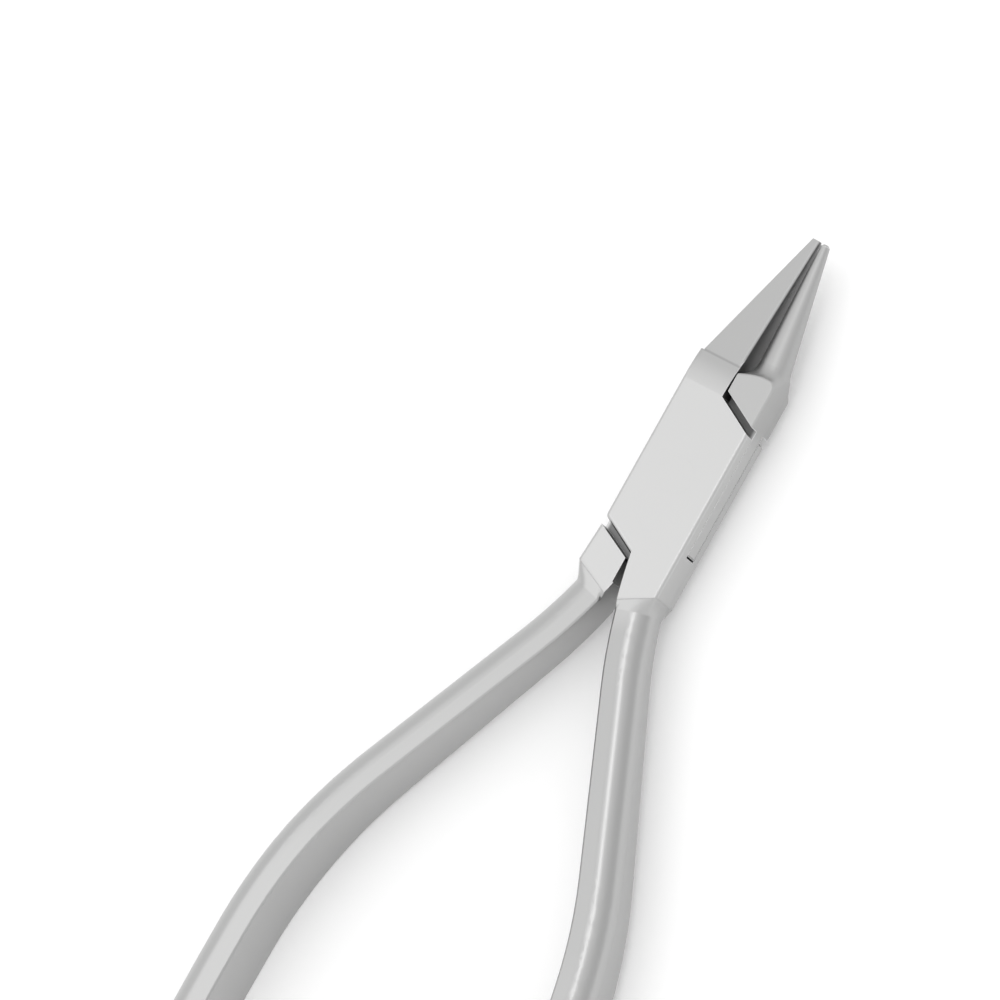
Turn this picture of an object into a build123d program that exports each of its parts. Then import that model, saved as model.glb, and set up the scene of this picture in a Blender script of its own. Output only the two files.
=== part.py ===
from build123d import *
from math import atan2, cos, degrees, radians, sin
import os

os.makedirs("parts", exist_ok=True)

# Orthodontic wire-bending pliers, closed, lying flat. The pivot's axis is the Z axis, the box's
# back face is z = 0 and the beaks point along +Y. All sizes are in millimetres.

# The box of the joint
box_width = 9.8
box_thick = 6.0
box_top = 13.4         # pivot to the root of the square beak
notch_corner = 9.7     # pivot to the corner of each V cut
notch_side = 7.2       # pivot to where each V cut runs out at the box's side
notch_shift = 0.2      # the upper corner lies this far right of the centre line, the lower one left
cheek = 1.8            # each of the two walls that hold the tongue
heel_side = 12.6       # pivot to the end of the ground flat faces, at the outer side
heel_inner = 5.1       # how far those faces follow each handle's inner edge
heel_swell = 0.3       # how much wider the tongue half's lower block is at its end
corner_round = 0.6     # rounded corners of the box and the tongue, in plan
side_round = 0.45      # the box's long outer edges
edge_round = 0.25      # the edges of the square beak and of the shoulder under the round one

# Clearances in the joint
tongue_play = 0.05     # between the tongue and each cheek
end_play = 0.22        # between the tongue's slanted ends and the slot's
pin_play = 0.03        # between the pin and the tongue's bore, on the radius
wall_gap = 0.28        # between the halves at their straight walls
slant_gap = 0.86       # between each shoulder and the box's slanted walls

# The square beak
beak_tip = 29.5        # pivot to the tips
root_step = 0.4        # step in from the box's side
root_sink = 0.45       # step in from each flat face
roll_length = 3.6      # how far the flat faces roll off before the beak's root
tip_width = 0.96
beak_lean = 0.15       # how far the working face leans towards the round beak at the tip
tip_thick = 0.9

# The round beak
cone_tip_radius = 0.5
cone_root_radius = 1.81
cone_root = 15.2       # pivot to where the cone meets its flare
cone_tip_gap = 0.15    # between the beaks' tips
cone_root_gap = 0.8    # between the beaks at the cone's root
flare_radius = 2.2
shelf_fall = 24        # degrees, how far the shelf outside the flare falls away
shelf_round = 0.9      # rounded corner between the shelf and the shoulder's side
cone_tip_ease = 0.25   # the cone's blunted tip

# The pin
pin_radius = 1.6
pin_head_radius = 2.0  # peened into the cheeks and ground flush
pin_head_depth = 0.5

# The handles
neck_angle = 10.5      # degrees from the pliers' axis where a handle leaves the box
spread_angle = 24.6    # degrees at the widest slope
neck_radius = 60
run_length = 21
bow_radius = 56
bow_end_angle = 2
grip_radius = 400
handle_end = 95.4      # pivot to the handles' ends
tongue_swing = 1       # degrees, how far the tongue half's handle is set in from a mirror image
handle_depth = 4.2     # from the flat inner face to the back
ground_step = 0.05     # how far the ground block stands out all round where the waist begins
waist_length = 1.0     # from the ground faces' end to the handle's own section
waist_height = 5.7     # across the flat inner face there
grip_height = 9.4      # across the same face at the grip
grip_start = 54        # pivot to where the full height is reached
taper_round = 150      # blends the taper into the grip
back_round = 2.6       # the handle's rounded back edges
inner_ease = 0.2       # the broken edges of the flat inner face

near = 0.01            # how closely an edge lies where it is looked for

half_width = box_width / 2
mid_z = box_thick / 2
wall_slope = (notch_corner - notch_side) / (half_width - notch_shift)
end_slope = (notch_corner - notch_side) / (half_width + notch_shift)
# The shoulders stand clear of the slanted walls, measured square to them, by this much along Y
relief = slant_gap * (1 + wall_slope**2) ** 0.5

# The upper stretch of the box half's handle, along its inner edge from the crotch
neck = JernArc(
    start=(-notch_shift, -notch_corner),
    tangent=(sin(radians(neck_angle)), -cos(radians(neck_angle))),
    radius=neck_radius,
    arc_size=spread_angle - neck_angle,
)


def on_side(side, v):
    """A point or direction of the box half's handle, kept for the side 1, mirrored for the side -1."""
    if side == 1:
        return v
    return Vector(-v.X, v.Y).rotate(Axis.Z, tongue_swing)


def neck_edge(side, first, last):
    """The neck's inner edge between two distances from the crotch, on the side 1 or -1."""
    spot = on_side(side, neck @ (first / neck.length))
    ahead = on_side(side, neck % (first / neck.length))
    return JernArc(spot, ahead, neck_radius, side * degrees((last - first) / neck_radius))


def long_edges(half):
    """The straight edges between a half's flat faces and its outer sides."""
    outer = half.edges().filter_by(GeomType.LINE)
    return outer.filter_by(
        lambda e: abs(abs(e.center().X) - half_width) < heel_swell
        and abs(abs(e.center().Z - mid_z) - mid_z) < near
    )


def runs_along(edge):
    """Whether an edge of a handle's wall runs along the handle or round its end."""
    return abs((edge % 0.5).Z) < 0.5 or edge.geom_type != GeomType.LINE


def handle(side, heel_corner):
    """A handle on the side 1 or -1, from the end of the ground faces, whose outer corner is given."""
    with BuildPart() as bar:
        # In plan, a bar of even depth that follows its inner edge
        with BuildSketch():
            with BuildLine():
                upper = neck_edge(side, heel_inner + waist_length, neck.length)
                run = Line(upper @ 1, upper @ 1 + (upper % 1) * run_length)
                bow = JernArc(run @ 1, run % 1, bow_radius, side * (bow_end_angle - spread_angle))
                grip_length = handle_end + (bow @ 1).Y + handle_depth
                JernArc(bow @ 1, bow % 1, grip_radius, -side * degrees(grip_length / grip_radius))
                offset(amount=handle_depth, side=Side.LEFT if side == 1 else Side.RIGHT)
            make_face()
        extrude(amount=box_thick + grip_height, both=True)
        # From the side, it grows straight from the waist to the grip and ends in a full round
        waist_y = (upper @ 0).Y
        growth = (grip_height - waist_height) / 2 / (grip_start + waist_y)
        with BuildSketch(Plane(origin=(0, 0, mid_z), x_dir=(0, 1, 0), z_dir=(1, 0, 0))):
            with BuildLine():
                top = Polyline(
                    (0, waist_height / 2 + growth * waist_y),
                    (-grip_start, grip_height / 2),
                    (grip_height / 2 - handle_end, grip_height / 2),
                )
                end = RadiusArc(top @ 1, (-handle_end, 0), -grip_height / 2)
                Polyline(end @ 1, (0, 0), top @ 0)
            profile = make_face()
            bend = profile.vertices().sort_by_distance((-grip_start, grip_height / 2))[0]
            fillet(bend, taper_round)
            mirror(about=Plane.XZ)
        extrude(amount=handle_end, both=True, mode=Mode.INTERSECT)
        back = bar.faces().filter_by(lambda f: side * f.normal_at().X > 0.5)
        fillet(back.edges().filter_by(runs_along), back_round)
        inside = bar.faces().filter_by(lambda f: side * f.normal_at().X < -0.5)
        chamfer(inside.edges().filter_by(runs_along), inner_ease)
        # The waist, where the ground block's square section turns into the handle's round one
        add(bar.faces().sort_by(Axis.Y)[-1])
        inner_corner = on_side(side, neck @ (heel_inner / neck.length))
        across = Vector(*heel_corner) - inner_corner
        heel = Plane(
            origin=(inner_corner.X, inner_corner.Y, mid_z),
            x_dir=across,
            z_dir=(side * across.Y, -side * across.X, 0),
        )
        with BuildSketch(heel) as square:
            Rectangle(
                across.length - ground_step,
                box_thick - 2 * ground_step,
                align=(Align.MIN, Align.CENTER),
            )
            corners = square.vertices().group_by(Axis.X)
            fillet(corners[-1], side_round)
            chamfer(corners[0], ground_step)
        loft()
    return bar.part


tip_x = notch_shift + beak_lean
straight_x = notch_shift + wall_gap
lowest_y = -heel_side - heel_inner
box_corner = (half_width, -heel_side)
shoulder_corner = (-half_width - heel_swell, -heel_side)

# The pin is driven in, peened into the countersunk cheeks and ground flush with the box's faces
with BuildPart() as pivot_pin:
    with BuildSketch(Plane.XZ):
        with BuildLine():
            Polyline(
                (0, 0),
                (pin_head_radius, 0),
                (pin_radius, pin_head_depth),
                (pin_radius, box_thick - pin_head_depth),
                (pin_head_radius, box_thick),
                (0, box_thick),
                close=True,
            )
        make_face()
    revolve(axis=Axis.Z)
pivot_pin.part.label = "pivot_pin"
export_step(pivot_pin.part, "parts/pivot_pin.step")

# The box half: the square beak, the box with its slot, and the right-hand handle
with BuildPart() as box_half:
    with BuildSketch():
        with BuildLine():
            crotch = neck_edge(1, 0, heel_inner)
            Polyline(
                crotch @ 0,
                (-half_width, -notch_side),
                (-half_width, box_top),
                (root_step - half_width, box_top),
                (tip_x - tip_width, beak_tip),
                (tip_x, beak_tip),
                (notch_shift, notch_corner),
                (half_width, notch_side),
                box_corner,
                crotch @ 1,
            )
        plan = make_face()
        fillet(plan.vertices().sort_by_distance((-half_width, -notch_side))[0], corner_round)
    extrude(amount=box_thick)
    # From the side, the flat faces roll off towards the beak, which tapers to its tip
    with BuildSketch(Plane.YZ):
        with BuildLine():
            roll = TangentArc(
                (box_top - roll_length, box_thick),
                (box_top, box_thick - root_sink),
                tangent=(1, 0),
            )
            Polyline(
                roll @ 1,
                (beak_tip, mid_z + tip_thick / 2),
                (beak_tip, mid_z),
                (lowest_y, mid_z),
                (lowest_y, box_thick),
                roll @ 0,
            )
        make_face()
        mirror(about=Plane.XZ.offset(-mid_z))
    extrude(amount=box_width, both=True, mode=Mode.INTERSECT)
    beak_edges = box_half.edges().filter_by(
        lambda e: e.center().Y > box_top and e.length > (beak_tip - box_top) / 2
    )
    fillet(beak_edges, edge_round)
    fillet(long_edges(box_half), side_round)
    add(handle(1, box_corner))
    # The slot for the tongue, open at the upper right and the lower left
    slot_walls = [
        (-box_width, notch_side - end_slope * half_width),
        (notch_shift, notch_corner),
        (box_width, notch_corner),
    ]
    with BuildSketch(Plane.XY.offset(cheek)):
        with BuildLine():
            Polyline(*slot_walls, *[(-x, -y) for x, y in slot_walls], close=True)
        make_face()
    extrude(amount=box_thick - 2 * cheek, mode=Mode.SUBTRACT)
    add(pivot_pin.part, mode=Mode.SUBTRACT)
box_half.part.label = "box_half"
export_step(box_half.part, "parts/box_half.step")

# The tongue half: the round beak on its shoulder, the tongue, and the left-hand handle
root_centre = Vector(notch_shift + cone_root_gap + cone_root_radius, cone_root, mid_z)
tip_centre = Vector(tip_x + cone_tip_gap + cone_tip_radius, beak_tip, mid_z)
cone_length = (tip_centre - root_centre).length
cone_way = (tip_centre - root_centre).normalized()
cone_half_angle = degrees(atan2(cone_root_radius - cone_tip_radius, cone_length))
with BuildPart() as tongue_half:
    # A block as thick and as wide as the box, clear of the V cut
    with BuildSketch():
        with BuildLine():
            Polyline(
                (straight_x, notch_corner - wall_slope * wall_gap + relief),
                (straight_x, beak_tip),
                (half_width, beak_tip),
                (half_width, notch_side + relief),
                close=True,
            )
        make_face()
    extrude(amount=box_thick)
    # Turned about the cone's own axis: the cone, its flare and the shelf outside the flare
    with BuildSketch(Plane(origin=root_centre, x_dir=(cone_way.Y, -cone_way.X, 0), z_dir=(0, 0, 1))):
        with BuildLine():
            side = Line((cone_tip_radius, cone_length), (cone_root_radius, 0))
            flare = JernArc(side @ 1, side % 1, flare_radius, 90 - cone_half_angle - shelf_fall)
            shelf = Line(flare @ 1, flare @ 1 + (flare % 1) * box_width)
            Polyline(
                shelf @ 1,
                ((shelf @ 1).X, -cone_root),
                (0, -cone_root),
                (0, cone_length),
                (cone_tip_radius, cone_length),
            )
        turned = make_face()
        tip_corner = turned.vertices().sort_by_distance((cone_tip_radius, cone_length))[0]
        chamfer(tip_corner, cone_tip_ease)
    revolve(axis=Axis(root_centre, cone_way), mode=Mode.INTERSECT)
    side_face = tongue_half.faces().sort_by(Axis.X)[-1]
    fillet(side_face.edges().sort_by(Axis.Y)[-1], shelf_round)
    fillet(long_edges(tongue_half), edge_round)
    # The lower shoulder, below the box
    with BuildSketch():
        with BuildLine():
            inner = neck_edge(-1, relief, heel_inner)
            Polyline(
                inner @ 0,
                (-half_width, -notch_side - relief),
                shoulder_corner,
                inner @ 1,
            )
        make_face()
    extrude(amount=box_thick)
    fillet(long_edges(tongue_half), side_round)
    add(handle(-1, shoulder_corner))
    # Cut back from the box half's neck
    with BuildSketch():
        with Locations((-straight_x, -notch_corner)):
            Rectangle(half_width, 2 * relief + heel_inner, align=(Align.MIN, Align.CENTER))
    extrude(amount=box_thick, mode=Mode.SUBTRACT)
    # The tongue, the same seen from either end of the slot
    end_y = notch_side - end_play * (1 + end_slope**2) ** 0.5
    upper = [
        (-half_width, end_y),
        (straight_x, end_y + end_slope * (straight_x + half_width)),
        (straight_x, notch_corner + 2 * relief),
        (half_width, notch_corner + 2 * relief),
    ]
    with BuildSketch(Plane.XY.offset(cheek + tongue_play)):
        with BuildLine():
            Polyline(*upper, *[(-x, -y) for x, y in upper], close=True)
        plan = make_face()
        for x, y in (upper[0], (half_width, -end_y)):
            fillet(plan.vertices().sort_by_distance((x, y))[0], corner_round)
    extrude(amount=box_thick - 2 * (cheek + tongue_play))
    Hole(pin_radius + pin_play)
tongue_half.part.label = "tongue_half"
export_step(tongue_half.part, "parts/tongue_half.step")
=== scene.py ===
import bpy
from math import pi
from mathutils import Matrix, Vector


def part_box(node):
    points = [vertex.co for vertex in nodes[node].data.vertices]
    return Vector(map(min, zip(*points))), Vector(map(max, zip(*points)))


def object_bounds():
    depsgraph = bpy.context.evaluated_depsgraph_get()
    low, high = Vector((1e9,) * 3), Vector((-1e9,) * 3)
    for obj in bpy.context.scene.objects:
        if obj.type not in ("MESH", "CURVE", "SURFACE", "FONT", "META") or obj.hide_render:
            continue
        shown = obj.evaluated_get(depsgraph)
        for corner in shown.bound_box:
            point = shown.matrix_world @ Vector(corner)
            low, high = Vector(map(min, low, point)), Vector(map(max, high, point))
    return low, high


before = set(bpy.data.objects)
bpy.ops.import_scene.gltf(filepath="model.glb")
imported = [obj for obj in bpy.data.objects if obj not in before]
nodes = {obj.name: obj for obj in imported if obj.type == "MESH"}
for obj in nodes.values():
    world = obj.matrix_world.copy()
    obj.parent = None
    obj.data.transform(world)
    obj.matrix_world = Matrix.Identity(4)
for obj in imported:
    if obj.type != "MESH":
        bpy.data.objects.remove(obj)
cad_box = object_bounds()


# The box half: one forging of stainless steel with the square beak, the slotted box and the
# right-hand handle. The handle is blasted, the box is ground flat and brushed lengthways to a
# satin finish, and the edges are rubbed brighter in use and carry a painted highlight.
class Field:
    """A shader's socket. Sums and products of fields and numbers add Math nodes."""

    def __init__(self, tree, socket=None):
        self.tree = tree
        self.socket = socket

    def node(self, kind, sockets, out=0, **settings):
        """Add a node: its settings first, then the values or links of its sockets."""
        made = self.tree.nodes.new("ShaderNode" + kind)
        for name, value in settings.items():
            setattr(made, name, value)
        for name, value in sockets.items():
            if isinstance(value, Field):
                self.tree.links.new(value.socket, made.inputs[name])
            else:
                made.inputs[name].default_value = value
        return Field(self.tree, made.outputs[out] if made.outputs else None)

    def math(self, operation, first, second):
        return self.node("Math", {0: first, 1: second}, operation=operation)

    def __add__(self, other):
        return self.math("ADD", self, other)

    def __sub__(self, other):
        return self.math("SUBTRACT", self, other)

    def __rsub__(self, other):
        return self.math("SUBTRACT", other, self)

    def __mul__(self, other):
        return self.math("MULTIPLY", self, other)

    def __abs__(self):
        return self.math("ABSOLUTE", self, 0.0)

    __radd__ = __add__
    __rmul__ = __mul__

    def clamp(self):
        return self.node("Clamp", {"Value": self, "Min": 0.0, "Max": 1.0})

    def axes(self):
        """The vector's three coordinates."""
        parts = self.node("SeparateXYZ", {"Vector": self}).socket.node.outputs
        return [Field(self.tree, part) for part in parts]

    def dot(self, way):
        """How far the vector goes along another one."""
        return self.node("VectorMath", {0: self, 1: way}, out="Value", operation="DOT_PRODUCT")

    def blend(self, low, high):
        """The colour low where the field is 0 and high where it is 1."""
        return self.node("Mix", {0: self, 6: low, 7: high}, out=2, data_type="RGBA")


def blank_tree(owner):
    """The emptied shader of a material or of the studio."""
    owner.use_nodes = True
    owner.node_tree.nodes.clear()
    return Field(owner.node_tree)


def ramp(field, start, end):
    """0 where a field is at start, 1 where it is at end, smooth between them."""
    return field.node(
        "MapRange",
        {"Value": field, "From Min": start, "From Max": end, "To Min": 0.0, "To Max": 1.0},
        interpolation_type="SMOOTHSTEP",
    )


def fall(field, start, end):
    """1 where a field is at start, 0 where it is at end, smooth between them."""
    return 1.0 - ramp(field, start, end)


def pattern(place, cycles, shift, detail, roughness):
    """A noise with so many cycles to the metre along X, Y and Z."""
    stretched = place.node("Mapping", {"Vector": place, "Scale": cycles, "Location": shift})
    noise = {"Vector": stretched, "Scale": 1.0, "Detail": detail, "Roughness": roughness}
    return place.node("TexNoise", noise)


def grey(level):
    return level, level, level, 1


mm = 0.001
mid_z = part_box("pivot_pin")[1].z / 2       # the pin runs from the box's back, at 0, to its front

# The joint, measured from the pivot's axis and, in depth, from the middle of the box's
# thickness. A pair is where a change starts and where it ends
below_face = mid_z - 0.3 * mm, mid_z - 0.05 * mm
across_cuts = 0.4697, 0.8829, 0.0          # square to the slanted walls of the V cuts
cut_wall = 8.4 * mm, 8.7 * mm
cut_shoulder = 9.45 * mm, 9.7 * mm
cut_mouth = 4.4 * mm, 4.8 * mm
cut_corner = 0.0, 1.0 * mm * mm            # X times the distance across, over 0 at the open cuts
box_side = 4.6 * mm, 4.8 * mm
tongue_length = 7.0 * mm, 7.3 * mm
tongue_face = 1.17 * mm
back_gap = 0.08 * mm, 0.2 * mm
front_gap = 0.04 * mm, 0.12 * mm
slot_side = 4.2 * mm, 4.5 * mm
tongue_end = 6.75 * mm, 6.9 * mm
slot_end = 7.1 * mm, 7.2 * mm
slot_height = 1.15 * mm, 1.22 * mm
slot_corner = -1.0 * mm * mm, 0.0          # X times Y, under 0 at the corners without a cut
face_start = 10.0 * mm, 10.6 * mm
face_plane = 0.45 * mm, 0.5 * mm
square_to_face = 0.8, 0.95

# How strongly painted shade darkens these places. The V cuts and the slot's ends take it in full
back_gap_shade = 0.9
front_gap_shade = 0.25
working_face_shade = 0.9


def painted_joint_shade(place, towards_x):
    """1 where painted shade darkens the joint's gaps and the square beak's working face, 0
    elsewhere.
    """
    x, y, z = place.axes()
    depth = abs(z - mid_z)
    # Painted shade deep in the V cuts, open at the upper right and the lower left
    across = place.dot(across_cuts)
    between_walls = ramp(abs(across), *cut_wall) * fall(abs(across), *cut_shoulder)
    in_cut = between_walls * ramp(x * across, *cut_corner) * fall(abs(x), *cut_mouth)
    cut = fall(depth, *below_face) * in_cut
    # At the box's sides painted shade draws the tongue's running clearance as dark lines along its
    # two faces and, at the other two corners, across its end
    at_side = ramp(abs(x), *box_side) * fall(abs(y), *tongue_length)
    back_line = fall(abs(z - (mid_z - tongue_face)), *back_gap) * back_gap_shade
    front_line = fall(abs(z - (mid_z + tongue_face)), *front_gap) * front_gap_shade
    at_end = ramp(abs(x), *slot_side) * ramp(abs(y), *tongue_end) * fall(abs(y), *slot_end)
    end_line = at_end * fall(depth, *slot_height) * fall(x * y, *slot_corner)
    # The square beak's working face is ground, and it takes painted shade where it looks into the
    # narrow gap
    facing_wire = ramp(towards_x, *square_to_face) * fall(x, *face_plane)
    working_face = ramp(y, *face_start) * facing_wire * working_face_shade
    return (cut + at_side * (back_line + front_line) + end_line + working_face).clamp()


# The finish. The brush leaves hair lines a tenth of a millimetre wide and some millimetres long,
# the pressure of the hand shows as slow clouds over a centimetre or two, and beneath them is the
# fine skin of the blasting. Patterns are in cycles to the metre
steel_grey = 0.49, 0.49, 0.488
tone_spread = 0.03
satin_roughness = 0.31
# The painted shade of the joint's gaps and of the square beak's working face
joint_shade_grey = grey(0.165)
pattern_middle = 0.5
hair_cycles = 9000, 420, 9000
hair_tone = 0.25
hair_roughness = 0.04
hair_relief = 0.35
cloud_cycles = 130, 55, 130
cloud_tone = 0.5
cloud_roughness = 0.05
speck_cycles = 3200, 2300, 3200
speck_tone = 0.25
speck_relief = 0.65
relief_strength = 0.03
relief_height = 0.01 * mm

# The edges: wear and a painted highlight, brighter where the clouds are. Pin and handles have none
rubbed_and_highlit = grey(0.8)
edge_radius = 0.15 * mm
edge_gain = 9.0
edge_in_clouds = 0.9
edge_elsewhere = 0.55
edge_polish = 0.06
pin_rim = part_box("pivot_pin")[1].x
past_pin = pin_rim + 0.3 * mm, pin_rim + 0.6 * mm

# The handles. Distances along them are square to the slanting line where the ground block ends
block_slant = 0.45, 0.893
edges_end = -13.1 * mm, -12.7 * mm
block_end = -13.75 * mm, -13.1 * mm
handle_start = -17.5 * mm, -15.0 * mm
blasted_loss = 0.11
blasted_polish = 0.015
flat_on = 0.980, 0.997

# The beaks, and the crease at the root of the square one, which takes a painted shade line
beak_blend = 2.5 * mm
beak_roughness = 0.18
beak_root = 13.4 * mm
crease_width = 0.05 * mm, 0.2 * mm
crease_end = 0.3 * mm, 0.4 * mm
crease_shade = 0.2


def shaded(share):
    """The steel's own grey, times a share."""
    return (*[level * share for level in steel_grey], 1)


def satin_steel(name, seed, beak_start, beak_shade, painted_flat_shade):
    """Satin stainless steel with rubbed edges, painted partly as wear and partly as a highlight.
    It takes a painted shade on the beak, which is past beak_start, and another one on a handle's
    flat faces."""
    made = bpy.data.materials.new(name)
    steel = blank_tree(made)
    place = steel.node("TexCoord", {}, out="Object")
    towards = steel.node("TexCoord", {}, out="Normal")
    x, y, _ = place.axes()
    along = y * block_slant[1] - abs(x) * block_slant[0]
    hairs = pattern(place, hair_cycles, (seed, seed, seed), detail=3.0, roughness=0.6)
    clouds = pattern(place, cloud_cycles, (seed, 0, seed), detail=2.0, roughness=0.5)
    specks = pattern(place, speck_cycles, (0, 0, 0), detail=4.0, roughness=0.7)
    tone = (clouds * cloud_tone + specks * speck_tone + hairs * hair_tone).clamp()
    body = tone.blend(shaded(1 - tone_spread), shaded(1 + tone_spread))
    # An edge is where the rounded surface leans away from the sharp one
    rounded = steel.node("Bevel", {"Radius": edge_radius}, samples=4)
    facing = steel.node("NewGeometry", {}, out="Normal")
    in_plan = steel.node("VectorMath", {0: place, 1: (1, 1, 0)}, operation="MULTIPLY")
    off_axis = steel.node("VectorMath", {0: in_plan}, out="Value", operation="LENGTH")
    off_pin = ramp(off_axis, *past_pin)
    lean = (1.0 - rounded.dot(facing)) * edge_gain
    # The edges are painted brighter, partly as wear and partly as a painted highlight
    worn_and_highlit = (lean * (clouds * edge_in_clouds + edge_elsewhere)).clamp()
    edge = worn_and_highlit * off_pin * ramp(along, *edges_end)
    normal = steel.node("Mix", {0: off_pin, 4: facing, 5: rounded}, out=1, data_type="VECTOR")
    # Only the box and the blocks beside it are ground. The blasted handles are a shade darker,
    # and a handle's flat faces take a further painted shade, darker than its rounded outsides
    blasted = fall(along, *block_end)
    flat = ramp(abs(towards.dot((0, 0, 1))), *flat_on) * fall(along, *handle_start)
    share = 1.0 - (blasted * blasted_loss + flat * painted_flat_shade)
    # The beaks take a painted shade too, and so does the crease at the square one's root
    on_beak = ramp(y, beak_start, beak_start + beak_blend)
    crease = fall(abs(y - beak_root), *crease_width) * fall(x, *crease_end)
    share = share * (1.0 - on_beak * beak_shade) * (1.0 - crease * crease_shade)
    body = steel.node("VectorMath", {0: body, "Scale": share}, operation="SCALE")
    # Painted shade darkens the joint's gaps and the square beak's working face
    body = painted_joint_shade(place, towards.dot((1, 0, 0))).blend(body, joint_shade_grey)
    grain = (hairs - pattern_middle) * hair_roughness + (clouds - pattern_middle) * cloud_roughness
    wear = on_beak * beak_roughness - blasted * blasted_polish - edge * edge_polish
    relief = {
        "Height": hairs * hair_relief + specks * speck_relief,
        "Strength": relief_strength,
        "Distance": relief_height,
        "Normal": normal,
    }
    surface = {
        "Base Color": edge.blend(body, rubbed_and_highlit),
        "Metallic": 1.0,
        "Roughness": (grain + wear + satin_roughness).clamp(),
        "Normal": steel.node("Bump", relief),
    }
    steel.node("OutputMaterial", {"Surface": steel.node("BsdfPrincipled", surface)})
    return made


def dress(node, steel):
    """Give a whole piece one finish."""
    slots = nodes[node].data.materials
    slots.clear()
    slots.append(steel)


box_steel = satin_steel(
    "satin_steel", seed=0.0, beak_start=10.5 * mm, beak_shade=0.14, painted_flat_shade=0.10
)
dress("box_half", box_steel)

# The tongue half: the second forging, with the round beak on its shoulder, the tongue and the
# left-hand handle. It is finished with the box half, from its own bar of the same steel.
tongue_steel = satin_steel(
    "satin_steel_tongue", seed=3.7, beak_start=6.0 * mm, beak_shade=0.12, painted_flat_shade=0.0
)
dress("tongue_half", tongue_steel)

# The pin: turned from bar, driven through both walls of the box, peened into their countersinks
# and ground flush, so that it takes the box's own finish.
dress("pivot_pin", box_steel)

# The table top that the pliers lie on: wide, matt and nearly white, with a faint glow of its own
# that keeps it pale to its far end.
table_reach = 12.0
table_white = grey(0.93)
table_glow = 0.07
table_z = cad_box[0].z
table_mesh = bpy.data.meshes.new("table")
corners = [(-1, -1), (1, -1), (1, 1), (-1, 1)]
table_corners = [(x * table_reach, y * table_reach, table_z) for x, y in corners]
table_mesh.from_pydata(table_corners, [], [(0, 1, 2, 3)])
table = bpy.data.objects.new("table", table_mesh)
bpy.context.scene.collection.objects.link(table)
table_paint = bpy.data.materials.new("table_paint")
paint = blank_tree(table_paint)
matt = paint.node("BsdfDiffuse", {"Color": table_white})
glow = paint.node("Emission", {"Color": grey(1.0), "Strength": table_glow})
paint.node("OutputMaterial", {"Surface": paint.node("AddShader", {0: matt, 1: glow})})
table_mesh.materials.append(table_paint)

# The studio: a pale room, dimmer low down on the pliers' right and in a patch high up beyond
# their left side. Each is the way to its middle, the cosines where it sets in and is full, and
# the light that it takes.
room_light = 1.09
right_side = (0.8, 0.6, 0.0), (0.55, 0.95), 0.27
high_patch = (-0.37, 0.52, 0.77), (0.93, 0.985), 0.16
world = bpy.data.worlds.new("studio")
bpy.context.scene.world = world
room = blank_tree(world)
way = room.node("TexCoord", {}, out="Generated")
light = room_light
for middle, spread, loss in (right_side, high_patch):
    light = light - ramp(way.dot(middle), *spread) * loss
walls = room.node("Background", {"Color": grey(1.0), "Strength": light})
room.node("OutputWorld", {"Surface": walls})


# The lamps: a square soft box high on the left, which the flat faces reflect, and a long narrow
# strip nearly overhead, which draws the highlight along the right handle.
lamp_distance = 0.5


def turned(right, up, back, place):
    """Where a lamp or a camera stands at a place, looking away from back."""
    return Matrix.Translation(place) @ Matrix((right, up, back)).transposed().to_4x4()


def lamp(name, direction, long_way, length, width, radiance):
    """A flat lamp that faces the pliers from a direction, with its length along long_way."""
    back = Vector(direction).normalized()
    side = Vector(long_way)
    side = (side - back * side.dot(back)).normalized()
    data = bpy.data.lights.new(name, "AREA")
    data.shape = "RECTANGLE"
    data.size = length
    data.size_y = width
    data.energy = radiance * length * width * pi
    made = bpy.data.objects.new(name, data)
    bpy.context.scene.collection.objects.link(made)
    made.matrix_world = turned(side, back.cross(side), back, back * lamp_distance)


lamp(
    "soft_box",
    direction=(-0.47, -0.20, 0.86),
    long_way=(1, 0, 0),
    length=0.40,
    width=0.40,
    radiance=0.52,
)
lamp(
    "strip",
    direction=(0.039, 0.267, 0.961),
    long_way=(-0.417, 0.867, -0.224),
    length=0.45,
    width=0.09,
    radiance=1.75,
)

# The camera: a long lens two metres away, above and to the right, rolled so that the beaks point
# to the upper right of the picture.
distance = 2.0
picture_width = 0.10631
picture_centre = Vector((-0.01438, -0.01147, 0.01082))
view_right = Vector((0.8242, 0.4859, -0.2908))
view_up = Vector((-0.4263, 0.8705, 0.2460))
view_back = Vector((0.3727, -0.0787, 0.9246))
lens = bpy.data.cameras.new("camera")
camera = bpy.data.objects.new("camera", lens)
bpy.context.scene.collection.objects.link(camera)
camera.matrix_world = turned(view_right, view_up, view_back, picture_centre + view_back * distance)
lens.sensor_width = 36.0
lens.lens = lens.sensor_width * distance / picture_width
lens.clip_start = 0.01
lens.clip_end = 50.0
bpy.context.scene.camera = camera
bpy.context.scene.view_settings.view_transform = "Standard"
